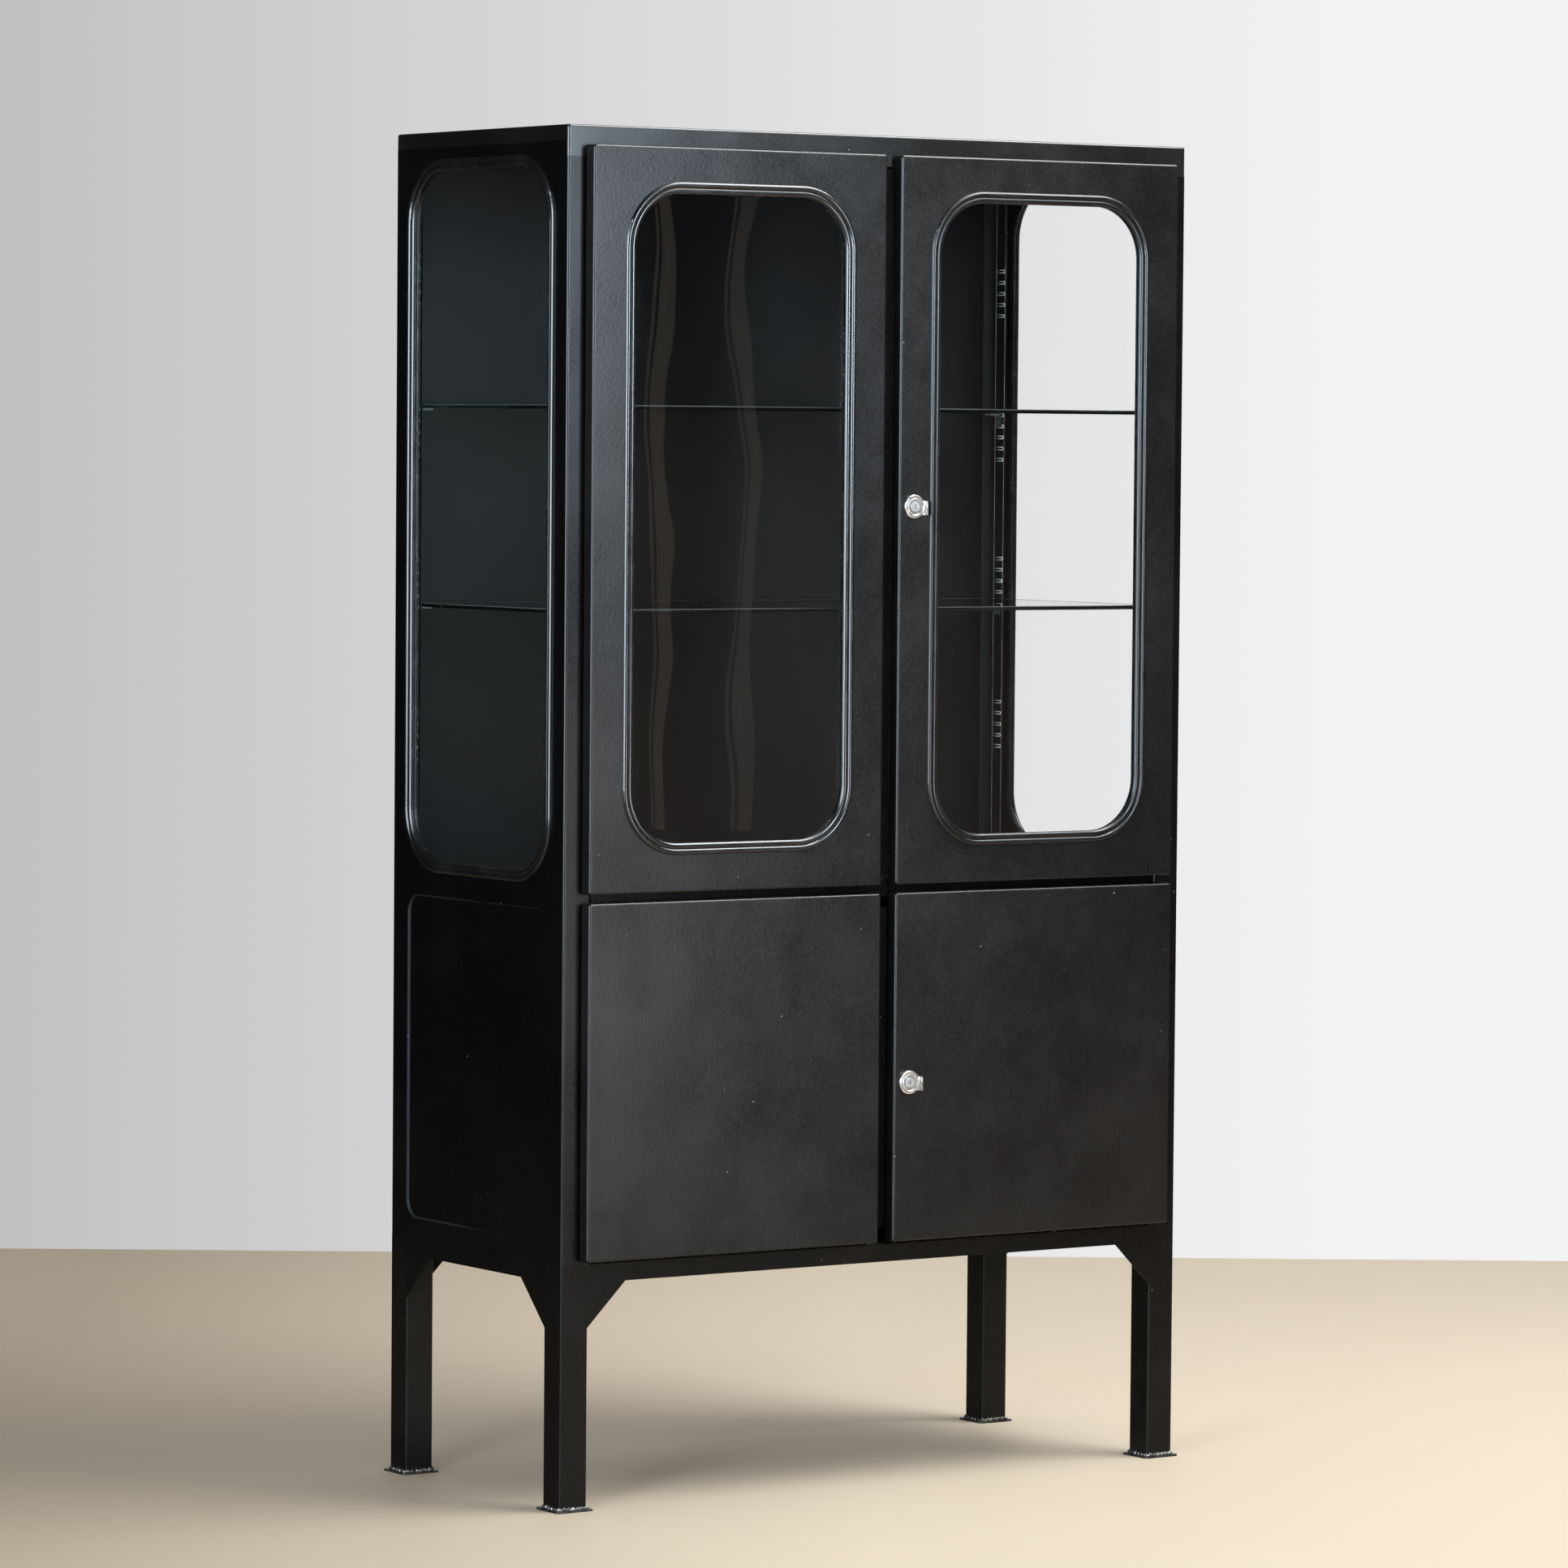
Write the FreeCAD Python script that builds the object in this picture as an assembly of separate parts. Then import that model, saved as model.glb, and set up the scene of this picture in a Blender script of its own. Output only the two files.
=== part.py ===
import FreeCAD, Part
import math
import os

Vector = FreeCAD.Vector

# Overall sizes, in millimetres
overall_height = 1720.0
body_width = 950.0
body_depth = 414.0

# Steel sheet and its folds
sheet = 1.5
bend = 3.0
corner = 4.0
overrun = 2.0
snug = 0.3
tolerance = 0.01

# Legs and feet
leg = 40.0
leg_wall = 2.0
foot_plate = 2.5
foot_overhang = 6.5
gusset = 55.0
leg_seam_share = 0.7

# Levels of the carcass, from the floor up
apron_bottom = 285.0
apron_height = 25.0
top_rail_height = 39.0
middle_rail_height = 25.0
top_side_flange = 20.0

# Folds of the side panels
stile = 40.0
stile_return = 17.0
rear_flange = 30.0
rail_return = 15.0
floor_rear_flange = 15.0

# Doors
door_proud = 20.0
door_rear_gap = 2.5
door_side_margin = 25.5
door_centre_gap = 22.0
door_top_margin = 24.5
lower_door_bottom = 312.0
lower_door_height = 446.5
door_level_gap = 10.5
door_lip = 10.0
lip_relief = 32.0

# Windows and their rubber
door_window_margin = 47.0
door_window_top_margin = 43.0
side_window_margin = 30.0
side_window_top_margin = 34.0
side_window_rise = 3.0
window_radius = 82.0
rubber_lip = 6.0
rubber_web = 3.0
rubber_band = 15.0
outer_bead = 3.5
inner_bead = 2.4
bead_valley = 1.2
rubber_back_lip = 2.6
rubber_back_inset = 1.0
rubber_seam = 0.4
pane = 4.0
pane_recess = 3.0

# Pressed field in the lower part of each side panel
field_margin = 38.0
field_floor_rise = 23.0
field_rail_drop = 1.25
field_radius = 25.0
field_depth = 2.5

# Shelves, slotted uprights and clips
shelf_thickness = 5.0
shelf_front_inset = 19.0
shelf_rear_inset = 11.0
shelf_side_gap = 3.0
steel_shelf_height = 20.0
upright_width = 25.0
upright_stand_off = 16.0
upright_foot = 10.0
upright_rear_inset = 13.5
upper_upright_gap = 0.75
lower_upright_gap = 3.25
first_group_share = 0.1936
group_pitch_share = 0.2146
lower_group_share = 0.507
group_count = 4
lower_group_count = 1
slot_pitch = 15.0
slots_in_group = 5
slot_width = 18.0
slot_height = 3.5
clip_width = 11.0
clip_reach = 20.0
clip_drop = 17.0
clip_thickness = 2.0
clip_tail = 3.0
upper_shelf_group_count = 2
upper_shelf_slot_count = 4
lower_shelf_group_count = 1
lower_shelf_slot_count = 0
steel_shelf_group_count = 0
steel_shelf_slot_count = 2

# Concealed pivot hinges
hinge_edge_inset = 6.5
hinge_stand_off = 12.0
hinge_pin_radius = 2.5
hinge_pin_fit = 0.05
hinge_eye_radius = 4.4
hinge_arm_thickness = 2.5
hinge_arm_width = 5.0
hinge_arm_clearance = 3.0
hinge_swing_clearance = 5.5
hinge_foot_setback = 1.0
hinge_foot_height = 28.0
hinge_foot_thickness = 2.0
hinge_head_radius = 3.8
hinge_head = 1.6

# Locks of the right doors, each with a finger pull under its bezel
lock_edge_inset = 21.5
upper_lock_share = 0.5197
lower_lock_share = 0.4569
pull_plate = 1.2
pull_disc_radius = 12.0
pull_bend = 2.0
pull_reach = 18.0
pull_height = 18.0
pull_drop = 2.0
pull_lip = 8.0
bezel_radius = 15.3
bezel_hex_radius = 17.0
bezel_rim = 2.2
bezel_height = 4.0
bezel_crown_width = 2.7
bezel_bulge_share = 0.75
bezel_land = 1.2
bezel_notch_width = 2.4
bezel_notch_depth = 1.6
lock_body_radius = 8.0
lock_head_radius = 9.2
lock_head = 1.2
lock_head_seat = 2.6
lock_body_rear_gap = 0.8
lock_nut_radius = 13.0
lock_nut_height = 4.0
plug_radius = 6.5
plug_fit = 0.05
plug_proud = 0.8
key_slot_width = 1.6
key_slot_height = 6.0
key_slot_depth = 6.0
cam_length = 36.0
cam_width = 12.0
cam_thickness = 2.0
cam_gap = 2.0
cam_screw_radius = 2.0
cam_screw_length = 8.0
cam_screw_head_radius = 4.0
cam_screw_head = 2.2

# Cover strip and slide bolts of the left doors
strip_width = 40.0
strip_reach_gap = 1.0
strip_thickness = 1.5
upper_strip_top_gap = 18.5
upper_strip_bottom_gap = 11.0
lower_strip_top_gap = 18.5
lower_strip_bottom_gap = 17.0
bolt_width = 10.0
bolt_thickness = 4.0
bolt_length = 120.0
bolt_rail_gap = 0.5
bolt_edge_inset = 3.0
bolt_rest_gap = 4.5
bolt_hole_clearance = 0.5
bolt_tip_radius = 1.0
bolt_knob_radius = 4.0
bolt_knob_length = 9.0
guide_wall = 1.5
guide_height = 12.0
guide_inset = 14.0

# Planes and levels worked out from the sizes above
half_width = body_width / 2
half_depth = body_depth / 2
front_face = -half_depth
rear_face = half_depth
back_panel_inner = rear_face - sheet
inner_side = half_width - sheet
opening_half = half_width - stile
leg_inner_x = half_width - leg
leg_inner_y = half_depth - leg
floor_top = apron_bottom + apron_height
leg_top = floor_top - sheet
leg_seam = bend * leg_seam_share
top_joint = overall_height - top_side_flange
top_rail_bottom = overall_height - top_rail_height

lower_door_top = lower_door_bottom + lower_door_height
upper_door_bottom = lower_door_top + door_level_gap
upper_door_top = overall_height - door_top_margin
middle_rail_bottom = (lower_door_top + upper_door_bottom - middle_rail_height) / 2
upper_floor_top = middle_rail_bottom + middle_rail_height

door_front = front_face - door_proud
door_rear = front_face - door_rear_gap
door_outer_edge = half_width - door_side_margin
door_closing_edge = door_centre_gap / 2
hinge_x = door_outer_edge - hinge_edge_inset
hinge_y = front_face - hinge_stand_off

side_window_bottom = upper_floor_top + side_window_rise
side_window_top = overall_height - side_window_top_margin
side_window_half = half_depth - side_window_margin
field_bottom = floor_top + field_floor_rise
field_top = middle_rail_bottom - field_rail_drop

lock_x = door_closing_edge + lock_edge_inset
upper_lock_level = upper_door_bottom + (upper_door_top - upper_door_bottom) * upper_lock_share
lower_lock_level = lower_door_bottom + lower_door_height * lower_lock_share
bezel_rear = door_front - pull_plate
bezel_front = bezel_rear - bezel_height
plug_front = bezel_front - plug_proud
cam_front = door_rear + cam_gap
bolt_front = front_face + sheet + bolt_rail_gap
bolt_x = -door_closing_edge - bolt_edge_inset
strip_rear = door_rear + strip_thickness

upright_face = inner_side - upright_stand_off - sheet
upright_rear = back_panel_inner - upright_rear_inset
upright_middle = upright_rear - upright_width / 2
upper_upright_height = top_rail_bottom - upper_upright_gap - upper_floor_top
lower_upright_height = middle_rail_bottom - lower_upright_gap - floor_top
group_pitch = upper_upright_height * group_pitch_share
upper_group_middle = upper_floor_top + upper_upright_height * first_group_share
lower_group_middle = floor_top + lower_upright_height * lower_group_share

# The origin stands under the middle of the whole outline, finger pulls and foot plates included
front_reach = half_depth + door_proud + pull_lip
rear_reach = half_depth + foot_overhang
origin_shift = Vector(0, (front_reach - rear_reach) / 2, 0)

nodes = {}
hinge_arms = []
hinge_pins = []


def keep(name, shape):
    nodes[name] = shape


def place(plane, u, v, w):
    if plane == "front":
        return Vector(u, w, v)
    if plane == "side":
        return Vector(w, u, v)
    return Vector(u, v, w)


def block(x0, x1, y0, y1, z0, z1):
    return Part.makeBox(x1 - x0, y1 - y0, z1 - z0, Vector(x0, y0, z0))


def rod(centre, direction, radius, length):
    return Part.makeCylinder(radius, length, centre, direction)


def rounded_edges(plane, u0, u1, v0, v1, radius, w):
    # A rectangle with round corners, starting and ending at the middle of its lower edge
    middle = (u0 + u1) / 2
    diagonal = radius * (1 - math.sqrt(0.5))
    start = place(plane, middle, v0, w)
    corners = (
        ((u1 - radius, v0), (u1 - diagonal, v0 + diagonal), (u1, v0 + radius)),
        ((u1, v1 - radius), (u1 - diagonal, v1 - diagonal), (u1 - radius, v1)),
        ((u0 + radius, v1), (u0 + diagonal, v1 - diagonal), (u0, v1 - radius)),
        ((u0, v0 + radius), (u0 + diagonal, v0 + diagonal), (u0 + radius, v0)),
    )
    edges = []
    last = start
    for points in corners:
        first, through, end = [place(plane, u, v, w) for u, v in points]
        edges.append(Part.makeLine(last, first))
        edges.append(Part.Arc(first, through, end).toShape())
        last = end
    edges.append(Part.makeLine(last, start))
    return edges


def rounded_slab(plane, u0, u1, v0, v1, radius, w0, w1):
    face = Part.Face(Part.Wire(rounded_edges(plane, u0, u1, v0, v1, radius, w0)))
    return face.extrude(place(plane, 0, 0, w1 - w0))


def plate(plane, points, w0, w1):
    corners = [place(plane, u, v, w0) for u, v in points]
    face = Part.Face(Part.makePolygon(corners + corners[:1]))
    return face.extrude(place(plane, 0, 0, w1 - w0))


def turned_line(points, radii):
    # Straight runs joined by tangent arcs, one radius for each inner point
    edges = []
    last = points[0]
    for index, radius in enumerate(radii, start=1):
        back = (points[index - 1] - points[index]).normalize()
        ahead = (points[index + 1] - points[index]).normalize()
        half_angle = back.getAngle(ahead) / 2
        reach = radius / math.tan(half_angle)
        inward = (back + ahead).normalize()
        first = points[index] + back * reach
        through = points[index] + inward * (radius / math.sin(half_angle) - radius)
        end = points[index] + ahead * reach
        edges.append(Part.makeLine(last, first))
        edges.append(Part.Arc(first, through, end).toShape())
        last = end
    edges.append(Part.makeLine(last, points[-1]))
    return edges


def folded(plane, line, thickness, radius, w0, w1):
    # A folded sheet: the line is one face, and the material lies on its right-hand side
    normal = place(plane, 0, 0, 1)
    points = [place(plane, u, v, w0) for u, v in line]
    runs = [(b - a).normalize() for a, b in zip(points, points[1:])]
    sides = [run.cross(normal) for run in runs]
    shifted = [points[0] + sides[0] * thickness]
    line_radii = []
    shifted_radii = []
    for index in range(1, len(runs)):
        shifted.append(points[index] + (sides[index - 1] + sides[index]) * thickness)
        right_turn = runs[index - 1].cross(runs[index]).dot(normal) < 0
        line_radii.append(radius if right_turn else radius - thickness)
        shifted_radii.append(radius - thickness if right_turn else radius)
    shifted.append(points[-1] + sides[-1] * thickness)
    near = turned_line(points, line_radii)
    far = turned_line(shifted, shifted_radii)
    ends = [Part.makeLine(points[0], shifted[0]), Part.makeLine(points[-1], shifted[-1])]
    outline = Part.Wire(Part.__sortEdges__(near + far + ends))
    return Part.Face(outline).extrude(normal * (w1 - w0))


def joined(shapes):
    return shapes[0].fuse(shapes[1:]).removeSplitter()


def mirrored_x(shape):
    return shape.mirror(Vector(0, 0, 0), Vector(1, 0, 0))


def mirrored_y(shape):
    return shape.mirror(Vector(0, 0, 0), Vector(0, 1, 0))


def edges_in_plane(shape, axis, value):
    def lies_there(edge):
        return all(abs(getattr(v.Point, axis) - value) < tolerance for v in edge.Vertexes)

    return [edge for edge in shape.Edges if lies_there(edge)]


def rubber_section(plane, middle, edge, face, outward):
    # Two soft beads in front, a groove for the sheet behind one and for the pane behind the other
    groove = rubber_lip
    seat = rubber_lip + rubber_web
    pane_back = pane_recess + pane
    tail = pane_back + rubber_back_lip
    back_edge = rubber_back_inset
    valley = (groove + seat) / 2
    crest = (valley + rubber_band) / 2

    def at(inward, height):
        return place(plane, middle, edge + inward, face + outward * height)

    dip = at(valley, bead_valley)
    edge_on_pane = at(rubber_band, -pane_recess)
    beads = [
        Part.Arc(at(0, 0), at(groove / 2, outer_bead), dip).toShape(),
        Part.Arc(dip, at(crest, inner_bead), edge_on_pane).toShape(),
    ]
    corners = [
        edge_on_pane,
        at(seat, -pane_recess),
        at(seat, -pane_back),
        at(rubber_band - snug, -pane_back),
        at(rubber_band - snug, -tail),
        at(seat, -tail),
        at(back_edge, -sheet - rubber_back_lip),
        at(back_edge, -sheet),
        at(groove, -sheet),
        at(groove, 0),
        at(0, 0),
    ]
    lines = [Part.makeLine(a, b) for a, b in zip(corners, corners[1:])]
    return Part.Wire(beads + lines)


def rubber_ring(plane, u0, u1, v0, v1, face, outward):
    # The strip runs once round the window, with its butted ends at the middle of the lower edge
    edges = rounded_edges(plane, u0, u1, v0, v1, window_radius, face)
    middle = (u0 + u1) / 2
    start = place(plane, middle + rubber_seam / 2, v0, face)
    finish = place(plane, middle - rubber_seam / 2, v0, face)
    edges[0] = Part.makeLine(start, edges[0].Vertexes[-1].Point)
    edges[-1] = Part.makeLine(edges[-1].Vertexes[0].Point, finish)
    section = rubber_section(plane, middle + rubber_seam / 2, v0, face, outward)
    return Part.Wire(edges).makePipeShell([section], True, False)


def window_slab(plane, u0, u1, v0, v1, inset, w0, w1):
    radius = window_radius - inset
    return rounded_slab(plane, u0 + inset, u1 - inset, v0 + inset, v1 - inset, radius, w0, w1)


def glazing(plane, u0, u1, v0, v1, face, outward):
    # The hole in the sheet, the rubber strip and the pane of one window
    hole_inset = rubber_lip - snug
    pane_inset = rubber_lip + rubber_web + snug
    far = face - outward * (sheet + overrun)
    near = face + outward * overrun
    hole = window_slab(plane, u0, u1, v0, v1, hole_inset, min(far, near), max(far, near))
    front = face - outward * pane_recess
    back = front - outward * pane
    glass = window_slab(plane, u0, u1, v0, v1, pane_inset, min(front, back), max(front, back))
    return hole, rubber_ring(plane, u0, u1, v0, v1, face, outward), glass


def leg_core(x_sign, y_sign):
    x0, x1 = sorted((x_sign * half_width, x_sign * leg_inner_x))
    y0, y1 = sorted((y_sign * half_depth, y_sign * leg_inner_y))
    return rounded_slab("flat", x0, x1, y0, y1, bend, foot_plate, leg_top)


def leg_tube(x_sign, y_sign):
    x0, x1 = sorted((x_sign * half_width, x_sign * leg_inner_x))
    y0, y1 = sorted((y_sign * half_depth, y_sign * leg_inner_y))
    inner = rounded_slab(
        "flat", x0 + leg_wall, x1 - leg_wall, y0 + leg_wall, y1 - leg_wall,
        bend - leg_wall, foot_plate - overrun, leg_top + overrun,
    )
    return leg_core(x_sign, y_sign).cut(inner)


def foot(x_sign, y_sign):
    x0, x1 = sorted((x_sign * (half_width + foot_overhang), x_sign * (leg_inner_x - foot_overhang)))
    y0, y1 = sorted((y_sign * (half_depth + foot_overhang), y_sign * (leg_inner_y - foot_overhang)))
    return rounded_slab("flat", x0, x1, y0, y1, corner, 0, foot_plate)


def top_panel():
    # A shallow tray: the front flange is the top rail, the other flanges are short
    outer = rounded_slab(
        "flat", -half_width, half_width, front_face, rear_face, corner, top_rail_bottom, overall_height,
    )
    outer = outer.makeFillet(bend, edges_in_plane(outer, "z", overall_height))
    ceiling = overall_height - sheet
    inner = rounded_slab(
        "flat", -inner_side, inner_side, front_face + sheet, back_panel_inner,
        corner - sheet, top_rail_bottom - overrun, ceiling,
    )
    inner = inner.makeFillet(bend - sheet, edges_in_plane(inner, "z", ceiling))
    tray = outer.cut(inner)
    behind = block(
        -half_width - overrun, half_width + overrun, front_face + corner, rear_face + overrun,
        top_rail_bottom - overrun, top_joint,
    )
    tray = tray.cut(behind)
    under_edge = block(
        -opening_half, opening_half, front_face + sheet, front_face + rail_return,
        top_rail_bottom, top_rail_bottom + sheet,
    )
    return joined([tray, under_edge]).cut(bolt_hole(top_rail_bottom))


def bolt_hole(level):
    half = bolt_width / 2 + bolt_hole_clearance
    middle = bolt_x - bolt_width / 2
    return block(
        middle - half, middle + half, bolt_front - snug, bolt_front + bolt_thickness + snug,
        level - overrun, level + sheet + overrun,
    )


def apron_outline(reach):
    # A sheet's lower edge between two legs: straight, with a sloped corner that runs onto each leg's rounding
    inner = reach - gusset
    end = reach + leg_seam
    tip = apron_bottom - gusset - leg_seam
    left = [(-end, leg_top), (-end, tip), (-inner, apron_bottom)]
    return left + [(-u, v) for u, v in reversed(left)]


def floor_ears(level):
    # The floor's two ends, behind the stiles
    ear = block(
        opening_half, inner_side, front_face + stile_return, back_panel_inner - bend, level - sheet, level,
    )
    return [ear, mirrored_x(ear)]


def upper_floor():
    line = [
        (front_face + rail_return, middle_rail_bottom), (front_face, middle_rail_bottom),
        (front_face, upper_floor_top), (back_panel_inner, upper_floor_top),
        (back_panel_inner, upper_floor_top - floor_rear_flange),
    ]
    middle = folded("side", line, sheet, bend, -opening_half, opening_half)
    floor = joined([middle] + floor_ears(upper_floor_top))
    return floor.cut([bolt_hole(upper_floor_top - sheet), bolt_hole(middle_rail_bottom)])


def lower_floor():
    line = [
        (front_face, apron_bottom), (front_face, floor_top), (back_panel_inner, floor_top),
        (back_panel_inner, floor_top - floor_rear_flange),
    ]
    middle = folded("side", line, sheet, bend, -leg_inner_x, leg_inner_x)
    end = leg_inner_x + leg_seam
    slope = [
        (leg_inner_x, floor_top - bend), (end, floor_top - bend), (end, apron_bottom - gusset - leg_seam),
        (leg_inner_x - gusset, apron_bottom),
    ]
    corner_sheet = plate("front", slope, front_face, front_face + sheet).cut(leg_core(1, -1))
    floor = joined([middle, corner_sheet, mirrored_x(corner_sheet)] + floor_ears(floor_top))
    return floor.cut(bolt_hole(leg_top))


def back_panel():
    upper = [(inner_side, leg_top), (inner_side, top_joint), (-inner_side, top_joint), (-inner_side, leg_top)]
    panel = plate("front", apron_outline(leg_inner_x) + upper, back_panel_inner, rear_face)
    return panel.cut([leg_core(-1, 1), leg_core(1, 1)])


def pressed_dish():
    # The shallow tray shape that the press pushes inwards, between two rounded outlines
    reach = half_depth - field_margin
    outer = Part.Wire(
        rounded_edges("side", -reach, reach, field_bottom, field_top, field_radius, -half_width)
    )
    small = Part.Wire(
        rounded_edges(
            "side", -reach + field_depth, reach - field_depth, field_bottom + field_depth,
            field_top - field_depth, field_radius - field_depth, -half_width + field_depth,
        )
    )
    return Part.makeLoft([outer, small], True, True)


def side_panel_left():
    line = [
        (-opening_half, front_face + stile_return), (-opening_half, front_face), (-half_width, front_face),
        (-half_width, back_panel_inner), (-half_width + rear_flange, back_panel_inner),
    ]
    panel = folded("flat", line, sheet, bend, leg_top, top_joint)
    under_rail = block(
        -half_width - overrun, -opening_half + overrun, front_face - overrun, front_face + corner,
        top_rail_bottom, top_joint + overrun,
    )
    behind_rail = block(
        -inner_side, -opening_half + overrun, front_face - overrun, front_face + stile_return + overrun,
        top_rail_bottom, top_joint + overrun,
    )
    apron = plate("side", apron_outline(leg_inner_y), -half_width, -inner_side)
    apron = apron.cut([leg_core(-1, -1), leg_core(-1, 1)])
    panel = joined([panel.cut([under_rail, behind_rail]), apron])
    hollow = pressed_dish()
    bulge = hollow.copy()
    bulge.translate(Vector(sheet, 0, 0))
    return joined([panel, bulge]).cut(hollow)


def side_window_bounds():
    return -side_window_half, side_window_half, side_window_bottom, side_window_top


def slot_level(first_middle, group, slot):
    middle = first_middle + group * group_pitch
    return middle + (slot - (slots_in_group - 1) / 2) * slot_pitch


def shelf_upright(bottom, height, first_middle, groups):
    # The slotted upright at the rear of the right-hand side: a stepped fold with the slots in its face
    line = [
        (upright_face, upright_rear - upright_width), (upright_face, upright_rear),
        (inner_side - sheet, upright_rear), (inner_side - sheet, upright_rear + upright_foot),
    ]
    upright = folded("flat", line, sheet, bend, bottom, bottom + height)
    levels = [slot_level(first_middle, g, s) for g in range(groups) for s in range(slots_in_group)]
    slots = [
        rounded_slab(
            "side", upright_middle - slot_width / 2, upright_middle + slot_width / 2,
            level - slot_height / 2, level + slot_height / 2, slot_height / 3,
            upright_face - overrun, upright_face + sheet + overrun,
        )
        for level in levels
    ]
    return upright.cut(slots)


def in_four_corners(shape):
    right = [shape, mirrored_y(shape)]
    return right + [mirrored_x(s) for s in right]


def shelf_clips(level):
    # A small angle hooked into one slot of each upright: the shelf lies on its tab
    top = level + clip_thickness / 2
    y0 = upright_middle - clip_width / 2
    y1 = upright_middle + clip_width / 2
    inner = upright_face - clip_thickness
    tail_end = upright_face + sheet + clip_tail
    tab = block(upright_face - clip_reach, tail_end, y0, y1, top - clip_thickness, top)
    drop = block(inner, upright_face, y0, y1, top - clip_drop, top)
    return Part.makeCompound(in_four_corners(joined([tab, drop])))


def shelf_outline():
    reach = upright_face - clip_thickness - shelf_side_gap
    return -reach, reach, front_face + shelf_front_inset, rear_face - shelf_rear_inset


def glass_shelf(level):
    bottom = level + clip_thickness / 2
    return rounded_slab("flat", *shelf_outline(), corner, bottom, bottom + shelf_thickness)


def steel_shelf(level):
    # A shallow tray, open underneath, cut away over the clips so that its sheet lies on them
    x0, x1, y0, y1 = shelf_outline()
    top = level + clip_thickness / 2 + sheet
    bottom = top - steel_shelf_height
    outer = rounded_slab("flat", x0, x1, y0, y1, corner, bottom, top)
    outer = outer.makeFillet(bend, edges_in_plane(outer, "z", top))
    inner = rounded_slab(
        "flat", x0 + sheet, x1 - sheet, y0 + sheet, y1 - sheet, corner - sheet, bottom - overrun, top - sheet,
    )
    half = clip_width / 2 + snug
    notch = block(
        x1 - sheet - overrun, x1 + overrun, upright_middle - half, upright_middle + half,
        bottom - overrun, top - sheet,
    )
    return outer.cut([inner] + in_four_corners(notch))


def door_pan(bottom, top):
    # The right-hand leaf: a folded pan with rounded front edges and a lip round its open back
    x0, x1 = door_closing_edge, door_outer_edge
    outer = rounded_slab("front", x0, x1, bottom, top, corner, door_front, door_rear)
    outer = outer.makeFillet(bend, edges_in_plane(outer, "y", door_front))
    back = door_front + sheet
    inner = rounded_slab(
        "front", x0 + sheet, x1 - sheet, bottom + sheet, top - sheet, corner - sheet, back, door_rear - sheet,
    )
    inner = inner.makeFillet(bend - sheet, edges_in_plane(inner, "y", back))
    mouth = block(
        x0 + door_lip, x1 - door_lip, door_rear - sheet - overrun, door_rear + overrun,
        bottom + door_lip, top - door_lip,
    )
    pan = outer.cut([inner, mouth])
    for low, high in ((bottom + sheet, bottom + lip_relief), (top - lip_relief, top - sheet)):
        relief = block(
            x1 - lip_relief, x1 - sheet, door_rear - sheet - overrun, door_rear + overrun, low, high,
        )
        pan = pan.cut(relief)
    return pan.cut(upright_rod(hinge_pin_radius + hinge_pin_fit, bottom - overrun, top + overrun))


def door_window_bounds(bottom, top):
    margin = door_window_margin
    left, right = door_closing_edge + margin, door_outer_edge - margin
    return left, right, bottom + margin, top - door_window_top_margin


def upright_rod(radius, low, high):
    return rod(Vector(hinge_x, hinge_y, low), Vector(0, 0, 1), radius, high - low)


def hinge_levels(bottom, top, sill, head):
    # The two arms of a leaf: each just inside the opening and inside the pan, with the way its foot points
    lower = max(sill, bottom + sheet) + hinge_arm_clearance
    upper = min(head, top - sheet) - hinge_arm_clearance
    return (lower, lower + hinge_arm_thickness, 1), (upper - hinge_arm_thickness, upper, -1)


def hinge_arm(low, high, foot_way):
    # A cranked arm in plan, from the stile's return round the leaf's edge to the pivot
    neck = opening_half - hinge_swing_clearance
    throat = neck - hinge_arm_width
    rear = front_face + stile_return
    start = front_face + hinge_foot_setback
    tip = hinge_y - hinge_eye_radius
    outline = [
        (opening_half, rear), (opening_half, start), (neck, (hinge_y + start) / 2),
        (neck, hinge_y - hinge_foot_setback), (hinge_x, hinge_y), (hinge_x, tip), (throat, tip),
        (throat, rear),
    ]
    arm = plate("flat", outline, low, high)
    eye = upright_rod(hinge_eye_radius, low, high)
    bent_edge = low if foot_way > 0 else high
    foot_ends = sorted((bent_edge, bent_edge + foot_way * hinge_foot_height))
    rest = block(opening_half - hinge_foot_thickness, opening_half, start, rear, *foot_ends)
    return joined([arm, eye, rest]).cut(upright_rod(hinge_pin_radius, low - overrun, high + overrun))


def hinge_pin(low, high, foot_way, bottom, top):
    # The pin is riveted over the arm and turns in the leaf's folded edge
    end = bottom if foot_way > 0 else top
    seat = high if foot_way > 0 else low
    pin = upright_rod(hinge_pin_radius, min(end, seat), max(end, seat))
    head = upright_rod(hinge_head_radius, *sorted((seat, seat + foot_way * hinge_head)))
    return joined([pin, head])


def across(radius, front, rear, level):
    return rod(Vector(lock_x, front, level), Vector(0, 1, 0), radius, rear - front)


def lock_hole(level):
    return across(lock_body_radius + snug, door_front - pull_lip, door_front + sheet + overrun, level)


def hexagon(radius, front, rear, level):
    turns = [math.pi * k / 3 for k in range(6)]
    corners = [(lock_x + radius * math.cos(t), level + radius * math.sin(t)) for t in turns]
    return plate("front", corners, front, rear)


def finger_pull(level):
    # A disc under the bezel with a tab at one side, turned forwards into a lip
    edge = lock_x + pull_reach
    line = [(lock_x, door_front), (edge, door_front), (edge, door_front - pull_lip)]
    low = level - pull_drop - pull_height / 2
    tab = folded("flat", line, pull_plate, pull_bend, low, low + pull_height)
    disc = across(pull_disc_radius, bezel_rear, door_front, level)
    return joined([tab, disc]).cut(lock_hole(level))


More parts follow.
